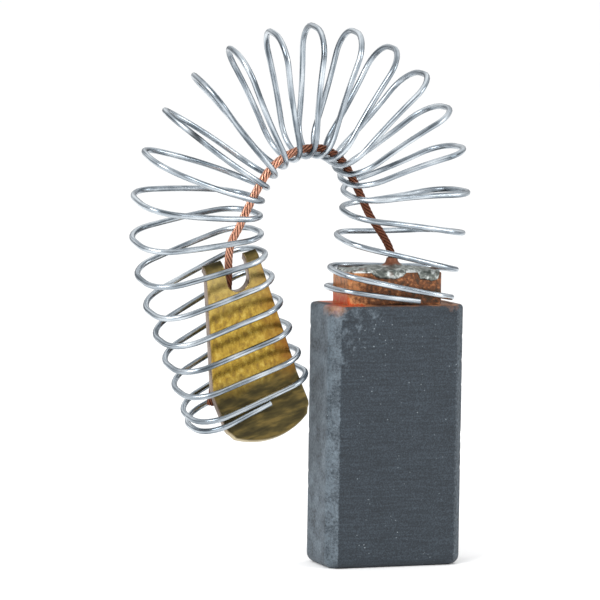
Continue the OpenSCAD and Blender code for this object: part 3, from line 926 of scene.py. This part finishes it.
@dataclass
class SolderPool:
    """The solder over the tenon: a shallow pool, a collar on the shunt and ragged runs in front."""

    top: float = 25.55
    tenon_width: float = 8.7
    tenon_depth: float = 4.3
    margin: float = 0.25
    thickness: float = 0.22
    crown: float = 0.3
    collar_x: float = 0.4
    collar_height: float = 0.9
    collar_foot: float = 1.2
    collar_lip: float = 0.47
    bead: float = 0.22
    run_thickness: float = 0.17
    edge_radius: float = 0.12
    columns: int = 130
    rows: int = 84
    seat: float = 0.04

    def run(self, x: np.ndarray) -> np.ndarray:
        """Runs the pool's ragged front edge over the tenon.

        Args:
            x: places across.

        Returns:
            How far it reaches past the front edge at each; below zero it stops short.
        """
        line = np.outer(x, (1, 0, 0))
        ragged = 0.34 * lumps(line, 0.85, 11.0) + 0.12 * lumps(line, 0.36, 4.0)
        left = 0.42 * smooth(1.8, 1.2, np.abs(x + 0.7))
        right = 0.7 * smooth(1.15, 0.8, np.abs(x - 3.1))
        reach = np.maximum(left, right)
        return np.where(reach > 0.05, reach + ragged * smooth(0.05, 0.3, reach),
                        -0.16 + 0.4 * ragged)

    def build(self, finish: FrozenSolder) -> bpy.types.Object:
        """Makes the pool as a skin that follows the tenon's top and front.

        Args:
            finish: the solder's finish.

        Returns:
            The pool's object.
        """
        half_x, half_y = self.tenon_width / 2 - self.margin, self.tenon_depth / 2
        u = np.linspace(-half_x, half_x, self.columns)
        v = np.linspace(0, 1, self.rows)
        start = half_y - self.margin + 0.06 * np.sin(3.1 * u) + 0.04 * np.sin(7.7 * u + 2)
        end = half_y + self.run(u)
        q = start[:, None] - (start + end)[:, None] * v[None]
        x = np.repeat(u[:, None], self.rows, 1)
        x = x * (1 - 0.03 * smooth(0.2, 0.0, np.minimum(v, 1 - v))[None])
        over = np.clip(-half_y - q, 0, None)
        lean = np.clip(over / self.edge_radius, 0, 1) * math.pi / 2
        base = np.stack([x, np.maximum(q, -half_y), self.top - over], -1)
        normal = np.stack([np.zeros_like(x), -np.sin(lean), np.cos(lean)], -1)
        rim = np.minimum(np.minimum(start[:, None] - q, q + end[:, None]), half_x - np.abs(x))
        bead = np.sqrt(np.clip(1 - (1 - np.clip(rim / self.bead, 0, 1)) ** 2, 0, 1))
        flat = base.reshape(-1, 3)
        lumpy = lumps(flat, 0.9, 5.0).reshape(x.shape) * 0.09
        lumpy += lumps(flat, 0.35, 8.0).reshape(x.shape) * 0.035
        dome = self.crown * np.clip(1 - (x / half_x) ** 2 - (q / half_y) ** 2, 0, 1)
        thick = self.thickness * (over == 0) + self.run_thickness * (over > 0)
        thick = (thick + dome + lumpy) * bead
        away = np.hypot(x - self.collar_x, q)
        flare = np.clip((self.collar_foot - away) / (self.collar_foot - self.collar_lip), 0, 1)
        climb = (self.collar_height - self.thickness) * (1 - np.sqrt(1 - flare ** 2))
        thick = np.maximum(thick, 0.03) + climb * (over == 0)
        # x places the painted highlight on the rim and runs, y the flux round the collar
        pool = np.stack([1 - np.clip(rim / 0.3, 0, 1) * (over == 0) - 0.35 * (over > 0),
                         smooth(1.5, 0.4, away), np.zeros_like(x)], -1).reshape(-1, 3)
        upper = (base + normal * thick[..., None]).reshape(-1, 3)
        lower = (base - normal * self.seat).reshape(-1, 3)
        points = np.concatenate([upper, lower])
        n, m, size = self.columns, self.rows, self.columns * self.rows
        faces = []
        for i in range(n - 1):
            for k in range(m - 1):
                a, b, c, d = i * m + k, (i + 1) * m + k, (i + 1) * m + k + 1, i * m + k + 1
                faces += [(a, d, c, b), (a + size, b + size, c + size, d + size)]
        rim_line = ([i * m for i in range(n)] + [(n - 1) * m + k for k in range(1, m)]
                    + [i * m + m - 1 for i in range(n - 2, -1, -1)] + list(range(m - 2, 0, -1)))
        for a, b in zip(rim_line, rim_line[1:] + rim_line[:1]):
            faces.append((a, b, b + size, a + size))
        return piece("solder_pool", points, faces, Node.SOLDER, Slot.SOLDER,
                     finish.material(), 60.0, {"pool": np.concatenate([pool, pool])})


@dataclass
class CoilSpring:
    """The left-handed oblong coil in its arch."""

    arch: Arch
    rings_a_turn: int = 60
    sides: int = 14

    def build(self, finish: ZincWire) -> bpy.types.Object:
        """Makes the wire as one swept bar, with its ends cut square.

        Args:
            finish: the wire's finish.

        Returns:
            The spring's object.
        """
        arch = self.arch
        count = int((arch.last - arch.first) * self.rings_a_turn)
        turns = np.linspace(arch.first, arch.last, count)
        line = arch.coil(turns)
        middle = arch.at(turns, np.zeros(count), np.zeros(count))
        points, faces, marks = tube(line, line - middle, arch.wire / 2, self.sides)
        return piece("spring_wire", points, faces, Node.SPRING, Slot.WIRE,
                     finish.material(), 45.0, {"drawn": marks})


@dataclass
class Shunt:
    """The twisted strand that runs inside the coils from the solder to the terminal."""

    arch: Arch
    seat: Seat
    diameter: float = 0.7
    gap: float = 0.06
    socket_x: float = 0.4
    tenon_top: float = 25.55
    strands: int = 7
    lay: float = 3.4
    sides: int = 10

    def route(self) -> np.ndarray:
        """Leads the shunt from its hole, inside the coils and down the blade's back.

        Returns:
            The points that it passes through.
        """
        arch = self.arch
        turn = np.array([3, 4, *range(5, 15), 15.5, 16.5, 17.3])
        inset = np.array([1.4, 0.35, *[0.0] * 10, 0.4, 1.1, 1.95])
        forward = np.array([0, 0, *(1.2 * np.clip((t - 6) / 3, 0, 1) for t in range(5, 15)),
                            0.95, 0.65, 0.2])
        rounding = arch.corner - (arch.wire + self.diameter) / 2 - self.gap
        aside = np.clip(forward - arch.half_depth + arch.corner, 0, rounding)
        reach = arch.half_width - arch.corner + np.sqrt(rounding ** 2 - aside ** 2)
        back = (self.seat.sheet + self.diameter) / 2 + self.gap
        end = np.array([(-0.35, back, 8.4), (-1.4, back, 5.3), (-2.6, back, 2.2),
                        (-3.95, back, -1.3)])
        start = np.array([(self.socket_x, 0, self.tenon_top + z) for z in (-4.1, 0, 1.3)])
        return np.concatenate([start, arch.at(turn, inset - reach, -forward),
                               self.seat.placed(end)])

    def line(self, steps: int = 12) -> np.ndarray:
        """Draws the smooth middle line through the route.

        Args:
            steps: points to each stretch of the route.

        Returns:
            The line's points.
        """
        p = self.route()
        out = unit(np.diff(p, axis=0))
        way = unit(np.concatenate([out[:1], out[1:] + out[:-1], out[-1:]]))
        made = []
        for i in range(len(p) - 1):
            reach = np.linalg.norm(p[i + 1] - p[i])
            for f in np.linspace(0, 1, steps, endpoint=False):
                h = 3 * f * f - 2 * f ** 3
                made.append(p[i] * (1 - h) + p[i + 1] * h + reach
                            * (way[i] * (f - 2 * f * f + f ** 3) + way[i + 1] * (f ** 3 - f * f)))
        return np.array(made + [p[-1]])

    def build(self, finish: StrandedCopper) -> bpy.types.Object:
        """Makes the strands round a core.

        Args:
            finish: the copper's finish.

        Returns:
            The shunt's object.
        """
        line = self.line()
        along = lengths(line)
        way = unit(np.gradient(line, axis=0))
        back = np.tile((0.0, 1.0, 0.0), (len(line), 1))
        first = unit(back - (back * way).sum(1, keepdims=True) * way)
        second = np.cross(way, first)
        strand = self.diameter / 2 * math.sin(math.pi / self.strands) / (
            1 + math.sin(math.pi / self.strands))
        ring = self.diameter / 2 - strand
        points, faces, out = [], [], []
        for k in range(self.strands + 1):
            angle = 2 * math.pi * (k / self.strands - along / self.lay)
            offset = (0 if k == self.strands else ring) * (
                np.cos(angle)[:, None] * first + np.sin(angle)[:, None] * second)
            radius = ring - 0.25 * strand if k == self.strands else strand
            tube_points, tube_faces, _ = tube(line + offset, first, radius, self.sides)
            base = sum(len(p) for p in points)
            points.append(tube_points)
            out.append(np.linalg.norm(tube_points - np.repeat(line, self.sides, 0), axis=1))
            faces += [tuple(base + i for i in face) for face in tube_faces]
        share = np.concatenate(out) * 2 / self.diameter
        return piece("shunt_strands", np.concatenate(points), faces, Node.SHUNT, Slot.COPPER,
                     finish.material(), 60.0, {"twist": np.outer(share, (1, 0, 0))})


@dataclass
class Terminal:
    """The brass terminal: a notched blank, bent back at the ears and forward at the lip."""

    seat: Seat
    ear_width: float = 5.1
    blade: float = 10.4
    lip: float = 5.2
    lip_bow: float = 6.4
    lip_corner: tuple[tuple[float, float], ...] = ((0.0, 0.65), (0.1, 0.32), (0.28, 0.1))
    lip_round: float = 0.55
    notch_width: float = 2.1
    notch_depth: float = 2.2
    notch_offset: float = 0.25
    tip: float = 0.7
    tip_bend: float = 60.0
    tip_radius: float = 0.06
    rollover: float = 0.1
    step: float = 0.22

    @property
    def lip_arc(self) -> float:
        """Length of the lip's bend along its inner face."""
        return self.seat.bend_radius * math.radians(self.seat.lip_bend)

    def outline(self) -> np.ndarray:
        """Draws the flat blank.

        Returns:
            Its outline's points, across and along, counter-clockwise.
        """
        half, ear, top = self.seat.lip_width / 2, self.ear_width / 2, self.blade + self.tip
        notch, mid = self.notch_width / 2, self.notch_offset
        foot = self.blade - self.notch_depth + notch
        end = -self.lip
        level = end + self.lip_bow - math.sqrt(self.lip_bow ** 2 - half ** 2)
        bow = [(x, end + self.lip_bow - math.sqrt(self.lip_bow ** 2 - x * x))
               for x in np.linspace(-half + self.lip_round, half - self.lip_round, 22)]
        corners = [(-half + inward, level + up) for inward, up in self.lip_corner]
        path = corners + bow + [(-x, y) for x, y in corners[::-1]]
        path += [(half, 0.0), (ear, self.blade), (ear, top), (mid + notch, top)]
        path += [(mid + notch * math.cos(a), foot - notch * math.sin(a))
                 for a in np.linspace(0, math.pi, 19)]
        path += [(mid - notch, top), (-ear, top), (-ear, self.blade), (-half, 0.0)]
        dense = []
        for a, b in zip(path, path[1:] + path[:1]):
            a, b = np.array(a), np.array(b)
            count = max(1, int(round(np.linalg.norm(b - a) / self.step)))
            dense += [a + (b - a) * k / count for k in range(count)]
        return np.array(dense)

    def bent(self, flat: np.ndarray, depth: np.ndarray) -> np.ndarray:
        """Folds points of the blank.

        Args:
            flat: across and along, one a row.
            depth: place through the sheet, from the front face at minus half to the back.

        Returns:
            Places across, back and up in the terminal's frame.
        """
        x, s = flat.T
        y, z = depth.copy(), s.copy()
        half, lip = self.seat.sheet / 2, math.radians(self.seat.lip_bend)
        ring = self.seat.bend_radius + half + depth
        angle = np.clip(-s / self.seat.bend_radius, 0, lip)
        beyond = np.clip(-s - self.lip_arc, 0, None)
        down = s < 0
        y = np.where(down, -half - self.seat.bend_radius + ring * np.cos(angle)
                     - beyond * math.sin(lip), y)
        z = np.where(down, -ring * np.sin(angle) - beyond * math.cos(lip), z)
        tip = math.radians(self.tip_bend)
        ring = self.tip_radius + half - depth
        arc = self.tip_radius + half
        angle = np.clip((s - self.blade) / arc, 0, tip)
        beyond = np.clip(s - self.blade - arc * tip, 0, None)
        up = s > self.blade
        y = np.where(up, half + self.tip_radius - ring * np.cos(angle) + beyond * math.sin(tip), y)
        z = np.where(up, self.blade + ring * np.sin(angle) + beyond * math.cos(tip), z)
        return np.column_stack([x, y, z])

    def build(self, finish: RolledBrass) -> bpy.types.Object:
        """Makes the blank, rounds its sheared edges and bends it.

        Args:
            finish: the brass's finish.

        Returns:
            The terminal's object.
        """
        edge, wide = self.outline(), self.seat.lip_width / 2
        way = unit(np.roll(edge, -1, 0) - np.roll(edge, 1, 0))
        inward = np.column_stack([-way[:, 1], way[:, 0]])
        face_edge = edge + self.rollover * inward
        grid = [(x, s) for s in np.arange(-self.lip, self.blade + self.tip, self.step)
                for x in np.arange(-wide, wide + 0.01, self.step)]
        near = np.array(grid)
        gap = np.array([np.min(np.linalg.norm(face_edge - p, axis=1)) for p in near])
        loop = [tuple(p) for p in face_edge]
        inside = [p for p, g in zip(grid, gap) if g > 0.6 * self.step and self.holds(loop, p)]
        plane = [Vector(p) for p in loop + inside]
        verts, _, tris, *_ = delaunay_2d_cdt(plane, [], [list(range(len(loop)))], 1, 1e-6)
        flat = np.array([tuple(v) for v in verts])
        half, count = self.seat.sheet / 2, len(flat)
        around = len(loop)
        walls = [(inset, rise - half) for rise, inset in rounding(self.rollover, 4)[2::-1]]
        walls += [(0.0, 0.0)] + [(inset, -depth) for inset, depth in walls[::-1]]
        blanks = [flat, flat]
        depths = [np.full(count, -half), np.full(count, half)]
        sheared = [np.zeros(count), np.zeros(count)]
        for inset, depth in walls:
            blanks.append(edge + inset * inward)
            depths.append(np.full(around, depth))
            sheared.append(np.full(around, 1.0 if inset < 0.01 else 0.3))
        blank, depth = np.concatenate(blanks), np.concatenate(depths)
        faces = [tuple(t) for t in tris] + [tuple(i + count for i in t[::-1]) for t in tris]
        starts = [0, *(2 * count + k * around for k in range(len(walls))), count]
        rows = [range(start, start + around) for start in starts]
        for upper, lower in zip(rows, rows[1:]):
            faces += [(upper[i], lower[i], lower[(i + 1) % around], upper[(i + 1) % around])
                      for i in range(around)]
        points = self.seat.placed(self.bent(blank, depth))
        marks = np.column_stack([blank, np.concatenate(sheared)])
        return piece("terminal_blank", points, faces, Node.TERMINAL, Slot.BRASS,
                     finish.material(), 50.0, {"blank": marks})

    @staticmethod
    def holds(loop: list, point: tuple) -> bool:
        """Tests whether an outline goes round a point.

        Args:
            loop: the outline's points.
            point: the place across and along.

        Returns:
            Whether it does.
        """
        x, y = point
        odd = False
        for (ax, ay), (bx, by) in zip(loop, loop[1:] + loop[:1]):
            if (ay > y) != (by > y) and x < ax + (y - ay) * (bx - ax) / (by - ay):
                odd = not odd
        return odd


@dataclass
class Studio:
    """The pale floor, the soft light and the camera."""

    azimuth: float = 20.02
    elevation: float = 4.65
    roll: float = 0.86
    distance: float = 335.2
    target: tuple[float, float, float] = (-8.04, 0.0, 23.13)
    lens: float = 233.1

    def floor(self) -> None:
        """Lays a wide pale floor under the contact face."""
        size = 20000.0
        mesh = bpy.data.meshes.new("floor")
        corners = [(-size, -size, 0), (size, -size, 0), (size, size, 0), (-size, size, 0)]
        mesh.from_pydata([[c * MM for c in p] for p in corners], [], [(0, 1, 2, 3)])
        card = bpy.data.materials.new("white_card")
        card.use_nodes = True
        shader = card.node_tree.nodes["Principled BSDF"]
        shader.inputs["Base Color"].default_value = linear("#FAFAFA")
        shader.inputs["Roughness"].default_value = 0.9
        mesh.materials.append(card)
        made = shown("floor", mesh)

    def light(self) -> None:
        """Sets a bright overhead sky that darkens to the horizon, and two soft boxes."""
        world = bpy.data.worlds.new("studio")
        bpy.context.scene.world = world
        world.use_nodes = True
        tree = world.node_tree
        tree.nodes.clear()
        way = add(tree, "ShaderNodeTexCoord")
        split = add(tree, "ShaderNodeSeparateXYZ", links={0: way.outputs["Generated"]})
        sky = add(tree, "ShaderNodeValToRGB",
                  {"stops": [(0.0, (0.55, 0.56, 0.58, 1)), (0.12, (0.45, 0.46, 0.48, 1)),
                             (0.5, (1.35, 1.35, 1.35, 1)), (1.0, (1.6, 1.6, 1.6, 1))]},
                  {0: split.outputs["Z"]})
        glow = add(tree, "ShaderNodeBackground", {"Strength": 0.8}, {"Color": sky.outputs[0]})
        add(tree, "ShaderNodeOutputWorld", None, {0: glow.outputs[0]})
        boxes = [("left_box", (-260, -180, 200), 160, 0.9),
                 ("right_box", (240, -220, 130), 120, 0.35)]
        for name, place, size, power in boxes:
            lamp = bpy.data.lights.new(name, "AREA")
            lamp.size = size * MM
            lamp.energy = power
            made = shown(name, lamp)
            made.location = Vector(place) * MM
            aim = Vector((-6, 0, 20)) * MM - made.location
            made.rotation_euler = aim.to_track_quat("-Z", "Y").to_euler()

    def camera(self) -> None:
        """Sets the camera a little above and to the left of the block's front."""
        az, el, roll = (math.radians(a) for a in (self.azimuth, self.elevation, self.roll))
        ahead = Vector((math.sin(az) * math.cos(el), math.cos(az) * math.cos(el), -math.sin(el)))
        right = Vector((math.cos(az), -math.sin(az), 0.0))
        up = right.cross(ahead)
        tilted = math.cos(roll) * right + math.sin(roll) * up
        upright = -math.sin(roll) * right + math.cos(roll) * up
        data = bpy.data.cameras.new("camera")
        data.lens, data.sensor_width, data.clip_end = self.lens, 36.0, 100.0
        made = shown("camera", data)
        place = (Vector(self.target) - ahead * self.distance) * MM
        turned = Matrix((tilted, upright, -ahead)).transposed().to_4x4()
        made.matrix_world = Matrix.Translation(place) @ turned
        bpy.context.scene.camera = made

    def build(self) -> None:
        """Sets the stage."""
        bpy.context.scene.view_settings.view_transform = "Standard"
        self.floor()
        self.light()
        self.camera()


def main() -> None:
    """Builds the brush on its stage."""
    logging.basicConfig(level=logging.INFO, format="%(name)s %(message)s")
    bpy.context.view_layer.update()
    arch = Arch()
    seat = Seat(arch)
    Studio().build()
    CarbonBlock().build(GroundCarbon())
    SolderPool().build(FrozenSolder())
    Shunt(arch, seat).build(StrandedCopper())
    CoilSpring(arch).build(ZincWire())
    Terminal(seat).build(RolledBrass())


if __name__ == "__main__":
    main()
